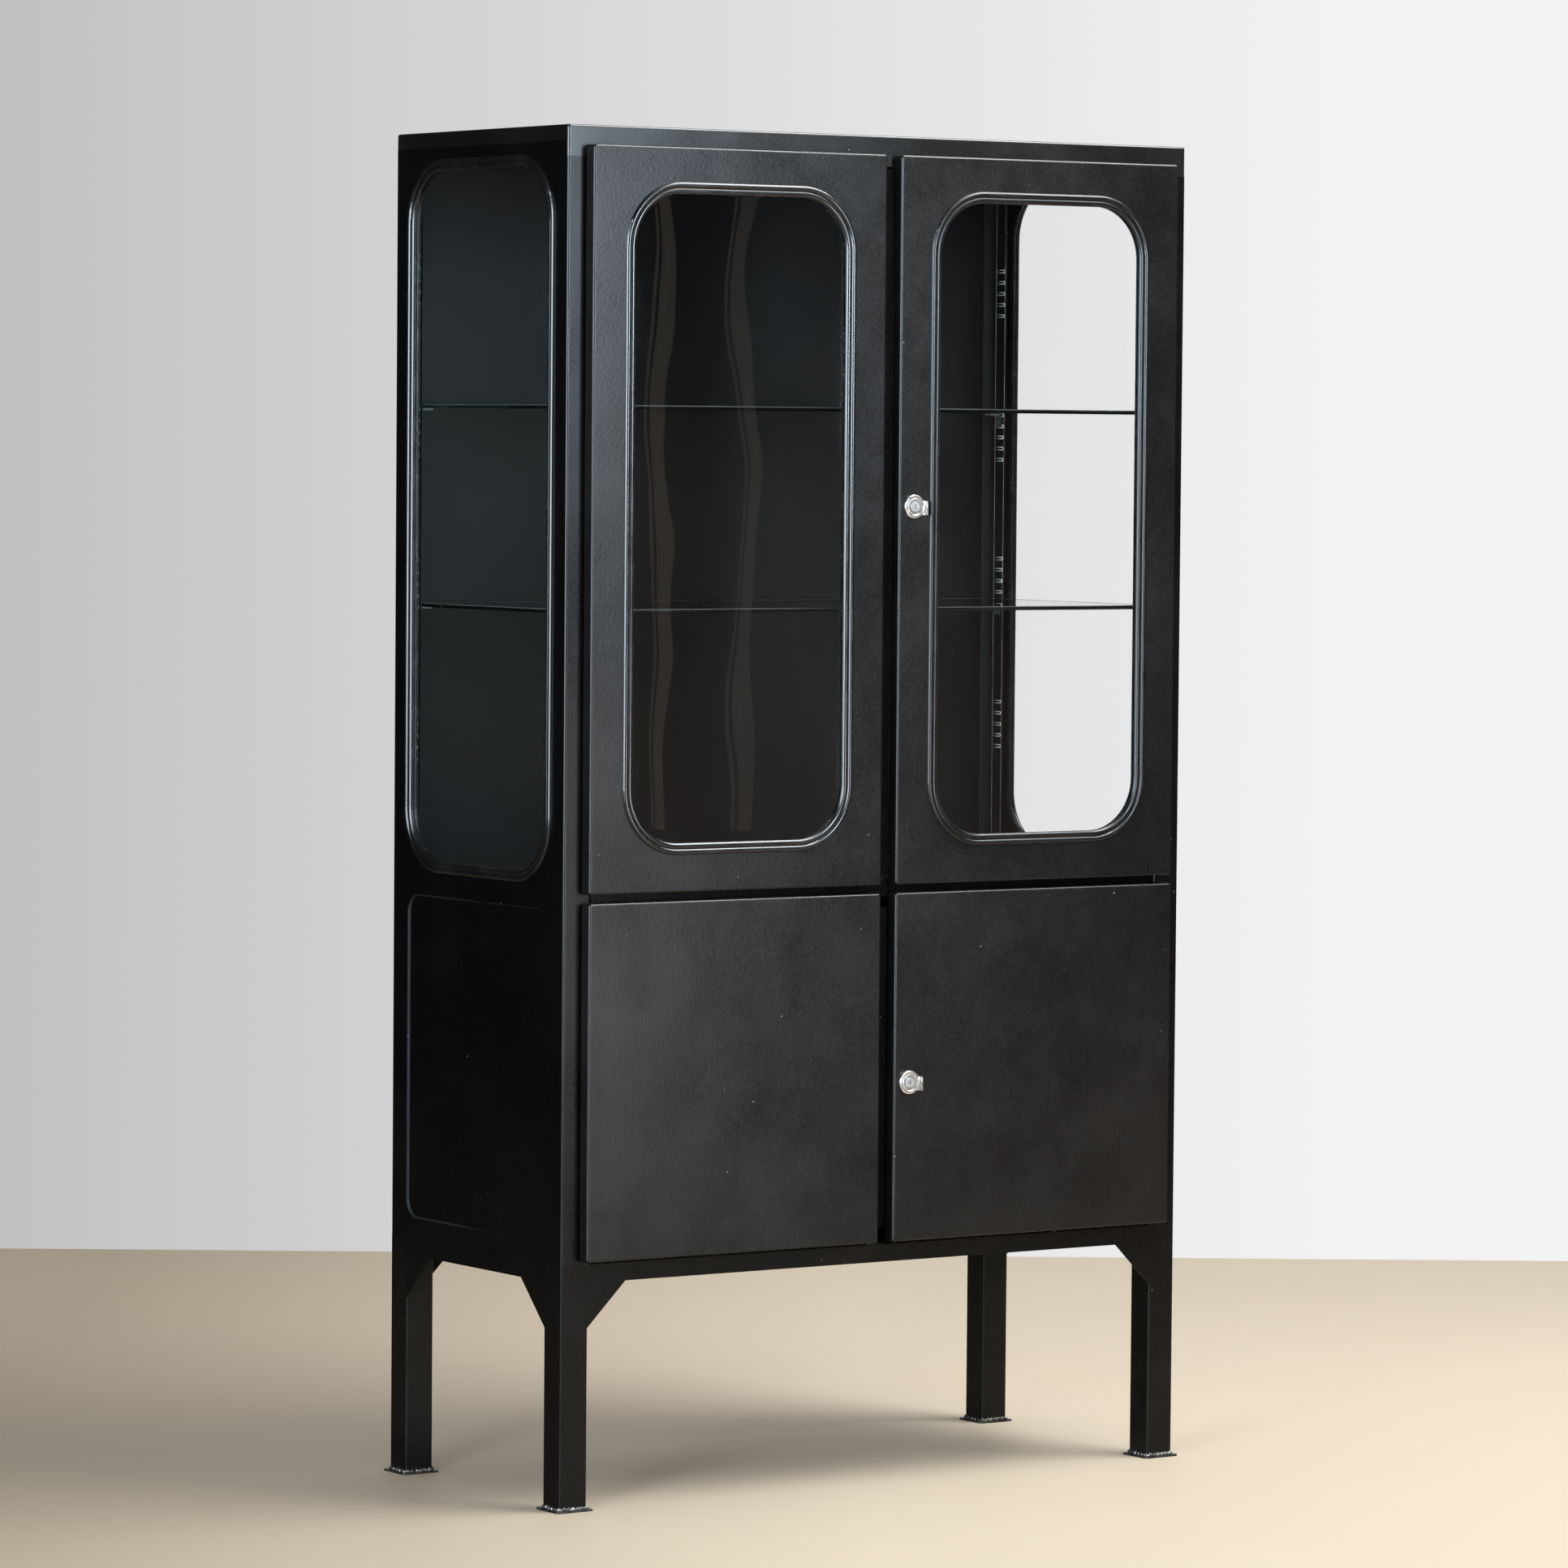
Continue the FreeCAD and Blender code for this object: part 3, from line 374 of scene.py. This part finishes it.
# Metal: a bright tone with stains, duller where it is stained, with a fine grain.
chromeLook = {"metal": 0.8, "spots": (70.0, 6.0, 0.6), "spotSpan": (0.55, 0.8), "bright": (0.88, 0.87, 0.85),
              "stain": (0.60, 0.57, 0.52), "sheenSpan": (0.3, 0.75), "smooth": 0.14, "dull": 0.28,
              "grains": (700.0, 4.0, 0.55), "grain": 0.04, "grainDepth": 0.0004}
platedLook = {**chromeLook, "bright": (0.60, 0.59, 0.56), "stain": (0.38, 0.34, 0.28), "smooth": 0.26,
              "dull": 0.42}
footLook = {**chromeLook, "metal": 0.75, "bright": (0.10, 0.095, 0.09), "stain": (0.020, 0.018, 0.016),
            "spotSpan": (0.40, 0.62), "smooth": 0.30, "dull": 0.55, "grains": (300.0, 4.0, 0.55),
            "grain": 0.2}
metalLooks = {
    "lockChrome": chromeLook,
    "platedSteel": platedLook,
    "footSteel": footLook,
    "clipSteel": {**platedLook, "metal": 0.6, "bright": (0.10, 0.10, 0.095), "stain": (0.05, 0.045, 0.04)},
    "plugNickel": {**chromeLook, "metal": 0.55, "bright": (0.74, 0.80, 0.82), "stain": (0.55, 0.58, 0.58),
                   "smooth": 0.28, "dull": 0.40},
}


def makeMetal(name, look):
    material, tree, shader = newMaterial(name)
    where = objectPlace(tree)
    shader.inputs["Metallic"].default_value = look["metal"]
    spots = addNoise(tree, where, look["spots"])
    tone = addBlend(tree, addRange(tree, spots, look["spotSpan"]), look["bright"], look["stain"])
    # painted glint: a piece may carry its own values of where its tone is painted bright
    if "unrubbed" in look:    # bright only where the piece's own rub values say so
        rub = addNode(tree, "ShaderNodeAttribute", attribute_name="rub")
        tone = addBlend(tree, rub.outputs["Fac"], look["unrubbed"], tone)
    tree.links.new(tone, shader.inputs["Base Color"])
    sheen = addRange(tree, spots, look["sheenSpan"], (look["smooth"], look["dull"]))
    tree.links.new(sheen, shader.inputs["Roughness"])
    addBump(tree, shader, addNoise(tree, where, look["grains"]), look["grain"], look["grainDepth"])
    return material


for name, look in metalLooks.items():
    finishes[name] = makeMetal(name, look)

# A node wears its own finish where one is named here, and otherwise that of its slot.
slotFinish = {"black_paint": "carcassPaint", "rubber": "glazingRubber", "window_glass": "windowGlass",
              "shelf_glass": "shelfGlass", "chrome": "lockChrome", "plated_steel": "platedSteel",
              "foot_steel": "footSteel"}
corners = ("front_left", "front_right", "rear_left", "rear_right")
wearers = {
    "doorPaint": ("lower_left_door", "lower_right_door"),
    "upperDoorPaint": ("upper_left_door", "upper_right_door"),
    "railPaint": ("top_panel",),
    "gapShadePaint": ("upper_floor", "upper_cover_strip", "lower_cover_strip"),
    "shadedSidePaint": ("side_panel_left", "side_panel_right"),
    "insideShadePaint": ("back_panel", "steel_shelf"),
    "uprightPaint": ("steel_shelf_uprights", *("shelf_upright_" + corner for corner in corners)),
    "wornRubber": ("upper_right_gasket",),
    "clipSteel": ("upper_glass_shelf_clips", "lower_glass_shelf_clips", "steel_shelf_clips"),
    "plugNickel": ("upper_lock_plug", "lower_lock_plug"),
    "sideWindowGlass": ("side_glass_left", "side_glass_right"),
}
ownFinish = {node: finish for finish, wearing in wearers.items() for node in wearing}
for name, piece in nodes.items():
    for place in piece.material_slots:
        slot = place.material.name.split(".")[0]
        place.material = finishes[ownFinish.get(name, slotFinish[slot])]
print("stage: finishes given")


def turn(count):    # angles of one full turn
    return np.linspace(0, 2 * math.pi, count, endpoint=False)


# Closed rings from a grid of points: ring by ring, rows run round the section, columns round the ring.
def ringSurface(name, points, material, body, rub=None):
    index = np.arange(points[..., 0].size).reshape(points.shape[:3])
    along = np.roll(index, -1, axis=2)
    across = np.roll(index, -1, axis=1)
    both = np.roll(along, -1, axis=1)
    quads = np.stack((index, along, both, across), axis=-1).reshape(-1, 4)
    mesh = bpy.data.meshes.new(name)
    mesh.from_pydata(points.reshape(-1, 3).tolist(), [], quads.tolist())
    mesh.shade_smooth()
    mesh.materials.append(material)
    if rub is not None:
        mesh.attributes.new("rub", "FLOAT", "POINT").data.foreach_set("value", np.ravel(rub))
    piece = bpy.data.objects.new(name, mesh)
    bpy.context.scene.collection.objects.link(piece)
    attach(piece, body)


# Weld bead round the foot of each leg: a square ring with round corners, whose tube swells
# and narrows along the run as sines of unlike length, like a hand-made weld.
# A lump is given as its count round the leg, its share of the seed and its height.
weldShape = {"around": 240, "tube": 12, "radius": 0.0030, "swell": 0.0011, "squareness": 10.0, "sink": 0.0006,
             "lift": 0.35, "lumps": ((23, 1.0, 1.0), (41, 2.3, 0.7), (67, 5.1, 0.4)), "firstSeed": 0.6,
             "seedStep": 1.7}
weldLook = {**footLook, "metal": 0.9, "bright": (0.26, 0.25, 0.24), "stain": (0.03, 0.027, 0.024),
            "spots": (160.0, 6.0, 0.6)}
weldSteel = makeMetal("weldSteel", weldLook)


def weldBead(corner, seed, look):
    low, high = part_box("leg_" + corner)
    centre = (low + high) / 2
    half = (high.x - low.x) / 2
    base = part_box("foot_plates")[1].z - look["sink"]
    along = turn(look["around"])
    across = turn(look["tube"])[:, None]
    power = look["squareness"]
    reach = half / (np.abs(np.cos(along)) ** power + np.abs(np.sin(along)) ** power) ** (1 / power)
    count, shift, share = np.array(look["lumps"]).T[:, :, None]
    lumps = (share * np.sin(count * along + shift * seed)).sum(axis=0) / share.sum()
    radius = look["radius"] + look["swell"] * lumps
    outward = reach + radius * np.cos(across)
    height = np.maximum(base + radius * (np.sin(across) + look["lift"]), base)
    rightward = centre.x + outward * np.cos(along)
    rearward = centre.y + outward * np.sin(along)
    points = np.stack((rightward, rearward, height), axis=-1)
    ringSurface("weld_bead_" + corner, points[None], weldSteel, "carcass")


for order, corner in enumerate(corners):
    weldBead(corner, weldShape["firstSeed"] + weldShape["seedStep"] * order, weldShape)
print("stage: weld beads made")


# An oblong of any squareness: half width times the cosine to a power, half height times the sine to it.
def oblong(along, halfWide, halfTall, squareness):
    cosine, sine = np.cos(along), np.sin(along)
    return (halfWide * np.sign(cosine) * np.abs(cosine) ** (2 / squareness),
            halfTall * np.sign(sine) * np.abs(sine) ** (2 / squareness))


# Punched rims: the thin burr round each slot of the shelf uprights, pale only towards its front end as a
# painted glint, and a pressed lip round the whole row. Each is a ring along an oblong with a small round
# section.
# The groups of slots stand at shares of the upright's height.
rimShape = {"groups": 4, "slots": 5, "firstShare": 0.1936, "groupShare": 0.2146, "slotPitch": 0.015,
            "inset": 0.0225, "wide": 0.018, "tall": 0.0035, "radius": 0.0007, "around": 36, "tube": 8,
            "squareness": 6.0, "rubSlope": 2.0}
lipShape = {"inset": rimShape["inset"], "wide": 0.0205, "endGap": 0.012, "radius": 0.0005, "around": 96,
            "tube": 8, "squareness": 30.0}
rimLook = {**platedLook, "metal": 0.2, "bright": (0.86, 0.85, 0.83), "stain": (0.60, 0.58, 0.55),
           "spots": (260.0, 6.0, 0.6), "smooth": 0.40, "dull": 0.60, "unrubbed": (0.05, 0.05, 0.048)}
# the lips' grey tone, far paler than the black upright, is a painted highlight along the upright's edges
lipHighlightLook = {**platedLook, "metal": 0.2, "bright": (0.20, 0.20, 0.195), "stain": (0.06, 0.06, 0.055),
           "spots": (24.0, 6.0, 0.6), "spotSpan": (0.35, 0.65), "smooth": 0.45, "dull": 0.60}
rimSteel = makeMetal("slotSteel", rimLook)
lipSteel = makeMetal("lipSteel", lipHighlightLook)


# Rings on the inner face of an upright, one at each level, and how far to the rear of the row each point is.
def uprightRings(corner, levels, tall, look):
    low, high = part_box("shelf_upright_" + corner)
    face = low.x if corner.endswith("right") else high.x
    middle = high.y - look["inset"] if corner.startswith("rear") else low.y + look["inset"]
    places = levels.reshape(-1, 1, 1)
    along = turn(look["around"])[None, None, :]
    across = turn(look["tube"])[None, :, None]
    swell = look["radius"] * np.cos(across)
    wide, rise = oblong(along, look["wide"] / 2 + swell, tall / 2 + swell, look["squareness"])
    outward = face + look["radius"] * np.sin(across)
    points = np.stack(np.broadcast_arrays(outward, middle + wide, places + rise), axis=-1)
    return points, points[..., 1] - middle


def slotRims(corner, look):
    low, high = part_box("shelf_upright_" + corner)
    groups = low.z + (high.z - low.z) * (look["firstShare"] + look["groupShare"] * np.arange(look["groups"]))
    slots = look["slotPitch"] * (np.arange(look["slots"]) - (look["slots"] - 1) / 2)
    points, rearward = uprightRings(corner, groups[:, None] + slots[None, :], look["tall"], look)
    # the pale front end of each rim is a painted glint
    rub = np.clip(0.5 - look["rubSlope"] * rearward / look["wide"], 0.0, 1.0)    # bright at the front end
    ringSurface("slot_rims_" + corner, points, rimSteel, "carcass", rub)


def grooveLip(corner, look):
    low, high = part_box("shelf_upright_" + corner)
    middle = np.array((low.z + high.z) / 2)
    points = uprightRings(corner, middle, high.z - low.z - 2 * look["endGap"], look)[0]
    ringSurface("groove_lip_" + corner, points, lipSteel, "carcass")


for corner in corners:
    slotRims(corner, rimShape)
    grooveLip(corner, lipShape)
print("stage: slot rims made")

# Ground arris round the top of each glass shelf: a ring along the shelf's own outline, sunk into its edge,
# whose pale tone is partly the ground glass and partly a painted glint.
arrisShape = {"radius": 0.0006, "sink": 0.0004, "around": 240, "tube": 8, "squareness": 80.0}
arrisLook = {**chromeLook, "metal": 0.0, "bright": (0.07, 0.08, 0.076), "stain": (0.025, 0.03, 0.028),
             "smooth": 0.36, "dull": 0.52, "spots": (14.0, 6.0, 0.6), "spotSpan": (0.35, 0.65)}
groundEdge = makeMetal("groundEdge", arrisLook)


def shelfArris(level, look):
    low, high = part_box(level + "_glass_shelf")
    centre, half = (low + high) / 2, (high - low) / 2
    along = turn(look["around"])[None, None, :]
    across = turn(look["tube"])[None, :, None]
    reach = look["radius"] * np.cos(across) - look["sink"]
    wide, deep = oblong(along, half.x + reach, half.y + reach, look["squareness"])
    height = high.z - look["sink"] + look["radius"] * np.sin(across)
    points = np.stack(np.broadcast_arrays(centre.x + wide, centre.y + deep, height), axis=-1)
    ringSurface(level + "_shelf_arris", points, groundEdge, "carcass")


for level in ("upper", "lower"):
    shelfArris(level, arrisShape)
print("stage: shelf arrises made")

# Camera: placed as worked out from the photo, from the middle of the carcass.
view = {"turn": -0.58976, "tilt": 0.050234, "roll": 0.0081395, "focalPixels": 8473.6, "widePixels": 1932.0,
        "eye": (-4.96847, -7.41011, 1.33589), "sensor": 36.0, "clipEnd": 60.0}
carcassShift = (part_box("leg_front_left")[0].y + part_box("leg_rear_left")[1].y) / 2
right = Vector((math.cos(view["turn"]), math.sin(view["turn"]), 0.0))
ahead = Vector((-math.sin(view["turn"]), math.cos(view["turn"]), 0.0))
back = Vector((0.0, 0.0, math.sin(view["tilt"]))) - math.cos(view["tilt"]) * ahead
up = back.cross(right)
cosine, sine = math.cos(view["roll"]), math.sin(view["roll"])
axes = Matrix((cosine * right + sine * up, cosine * up - sine * right, back)).transposed().to_4x4()
eye = Vector(view["eye"]) + Vector((0.0, carcassShift, 0.0))
lens = bpy.data.cameras.new("camera")
lens.sensor_width = view["sensor"]
lens.lens = view["focalPixels"] / view["widePixels"] * view["sensor"]
lens.clip_end = view["clipEnd"]
camera = bpy.data.objects.new("camera", lens)
camera.matrix_world = Matrix.Translation(eye) @ axes
bpy.context.scene.collection.objects.link(camera)
bpy.context.scene.camera = camera
print("stage: camera set")

# Floor: a plain pale sheet turned with the camera, darkened to the left by painted shade, which ends where
# the backdrop starts.
floorLook = {"cloud": (1.4, 5.0, 0.55), "pale": (0.86, 0.75, 0.58), "deeper": (0.81, 0.70, 0.53),
             "shade": (0.50, 0.42, 0.30), "shadeSpan": (-1.1, 0.1), "sheen": (0.55, 0.68), "gloss": 0.15,
             "near": -3.0, "far": 2.3, "half": 2.2}


def makeFloor(look):
    material, tree, shader = newMaterial("paleFloor")
    where = objectPlace(tree)
    cloud = addNoise(tree, where, look["cloud"])
    plain = addBlend(tree, cloud, look["pale"], look["deeper"])
    # painted shade that darkens the floor towards the left
    lit = addRange(tree, addFacing(tree, where, right), look["shadeSpan"])
    tree.links.new(addBlend(tree, lit, look["shade"], plain), shader.inputs["Base Color"])
    tree.links.new(addRange(tree, cloud, noiseSpan, look["sheen"]), shader.inputs["Roughness"])
    shader.inputs["Specular IOR Level"].default_value = look["gloss"]
    near, far, half = look["near"], look["far"], look["half"]
    places = ((near, -half), (near, half), (far, half), (far, -half))
    mesh = bpy.data.meshes.new("floor")
    mesh.from_pydata([ahead * along + right * across for along, across in places], [], [(0, 1, 2, 3)])
    mesh.materials.append(material)
    floor = bpy.data.objects.new("floor", mesh)
    bpy.context.scene.collection.objects.link(floor)


makeFloor(floorLook)

# Lamps, given by their radiance: two soft boxes that light the object, and cards that only its sheen mirrors.
lamps = {
    "windowSide": {"place": (-4.2, -2.9, 1.7), "target": (0.0, 0.0, 1.0), "wide": 1.0, "tall": 2.8,
                   "radiance": 8.0, "colour": (0.84, 0.93, 1.0), "shineOnly": False},
    "windowCard": {"place": (-4.9, -2.2, 1.95), "target": (0.0, 0.0, 1.45), "wide": 4.2, "tall": 3.0,
                   "radiance": 12.0, "colour": (0.74, 0.88, 1.0), "shineOnly": True},
    "frontCard": {"place": (0.15, -2.1, 1.72), "target": (-0.42, 0.0, 1.4), "wide": 0.4, "tall": 0.8,
                  "radiance": 42.0, "colour": (0.72, 0.88, 1.0), "shineOnly": True},
    "lowCard": {"place": (0.05, -2.1, 0.64), "target": (-0.35, 0.0, 0.6), "wide": 0.7, "tall": 0.5,
                "radiance": 12.5, "colour": (0.98, 0.95, 1.0), "shineOnly": True},
    "topCard": {"place": (1.4, -0.5, 3.7), "target": (0.0, -0.1, 1.7), "wide": 1.6, "tall": 1.6,
                "radiance": 12.0, "colour": (0.92, 0.96, 1.0), "shineOnly": True},
    "ceiling": {"place": (1.5, -1.4, 3.8), "target": (0.2, 0.0, 0.0), "wide": 2.4, "tall": 2.4,
                "radiance": 7.0, "colour": (1.0, 0.98, 0.95), "shineOnly": False},
}
# Two upright strips, each three nested lamps so that its edges are soft.
strips = {"stripLeft": {"across": 0.88, "aim": -0.335, "radiance": 0.40},
          "stripRight": {"across": 1.03, "aim": -0.215, "radiance": 0.30}}
stripShape = {"wides": (0.014, 0.009, 0.005), "front": -2.1, "step": 0.02, "doorFront": -0.21, "height": 1.26,
              "tall": 1.1, "colour": (1.0, 0.84, 0.68), "shineOnly": True}


def addLamp(name, look):
    lamp = bpy.data.lights.new(name, "AREA")
    lamp.shape = "RECTANGLE"
    lamp.size = look["wide"]
    lamp.size_y = look["tall"]
    lamp.energy = look["radiance"] * math.pi * look["wide"] * look["tall"]
    lamp.color = look["colour"]
    piece = bpy.data.objects.new(name, lamp)
    piece.location = look["place"]
    aim = Vector(look["target"]) - Vector(look["place"])
    piece.rotation_euler = aim.to_track_quat("-Z", "Y").to_euler()
    piece.visible_camera = False
    piece.visible_transmission = False
    piece.visible_diffuse = not look["shineOnly"]
    bpy.context.scene.collection.objects.link(piece)


def addStrip(name, strip, look):
    for order, wide in enumerate(look["wides"]):
        place = (strip["across"], look["front"] - look["step"] * order, look["height"])
        target = (strip["aim"], look["doorFront"], look["height"])
        addLamp(name + str(order), {**look, **strip, "place": place, "target": target, "wide": wide})


for name, look in lamps.items():
    addLamp(name, look)
for name, strip in strips.items():
    addStrip(name, strip, stripShape)

# Backdrop: pale to the eye and straight through glass, and lighter to the right. The paint and the rubber
# mirror a dim studio instead, darkest where the left side looks and lightest low in front of the doors.
# A count of bounces is tested against an edge between none and one.
backdropLook = {"low": (0.18, 0.145, 0.125), "high": (0.020, 0.020, 0.025), "heightSpan": (-0.07, 0.02),
                "dark": (0.012, 0.012, 0.013), "frontSpan": (-0.4, 1.0), "behind": (0.90, 0.90, 0.92),
                "behindSpan": (0.85, 0.97), "fill": (0.48, 0.48, 0.50), "shaded": (0.50, 0.50, 0.512),
                "bright": (0.89, 0.89, 0.905), "brightSpan": (-0.13, 0.08), "paneLift": 0.15,
                "bounceEdge": 0.5}


def makeBackdrop(look):
    world = bpy.data.worlds.new("studio")
    world.use_nodes = True
    tree = world.node_tree
    shade = tree.nodes["Background"]
    rays = addNode(tree, "ShaderNodeLightPath").outputs
    bounced = addMath(tree, "ADD", rays["Diffuse Depth"], rays["Glossy Depth"])
    direct = addMath(tree, "LESS_THAN", bounced, look["bounceEdge"])
    straight = addMath(tree, "MULTIPLY", rays["Is Transmission Ray"], direct)
    seen = addMath(tree, "MAXIMUM", rays["Is Camera Ray"], straight)
    mirrored = addMath(tree, "GREATER_THAN", rays["Glossy Depth"], look["bounceEdge"])
    way = addNode(tree, "ShaderNodeTexCoord").outputs["Generated"]
    risen = addRange(tree, addFacing(tree, way, (0.0, 0.0, 1.0)), look["heightSpan"])
    frontward = addRange(tree, addFacing(tree, way, (-back.x, back.y, 0.0)), look["frontSpan"])
    rearward = addRange(tree, addFacing(tree, way, (-back.x, -back.y, 0.0)), look["behindSpan"])
    rightward = addRange(tree, addFacing(tree, way, right), look["brightSpan"])
    studio = addBlend(tree, frontward, look["dark"], addBlend(tree, risen, look["low"], look["high"]))
    glossy = addBlend(tree, rearward, studio, look["behind"])
    other = addBlend(tree, mirrored, look["fill"], glossy)
    pale = addBlend(tree, rightward, look["shaded"], look["bright"])
    tree.links.new(addBlend(tree, seen, other, pale), shade.inputs["Color"])
    lift = addMath(tree, "MULTIPLY", straight, look["paneLift"])    # makes up for what two panes take away
    tree.links.new(addMath(tree, "ADD", lift, 1.0), shade.inputs["Strength"])
    bpy.context.scene.world = world


makeBackdrop(backdropLook)
bpy.context.scene.view_settings.view_transform = "Standard"
print("stage: light and backdrop set")
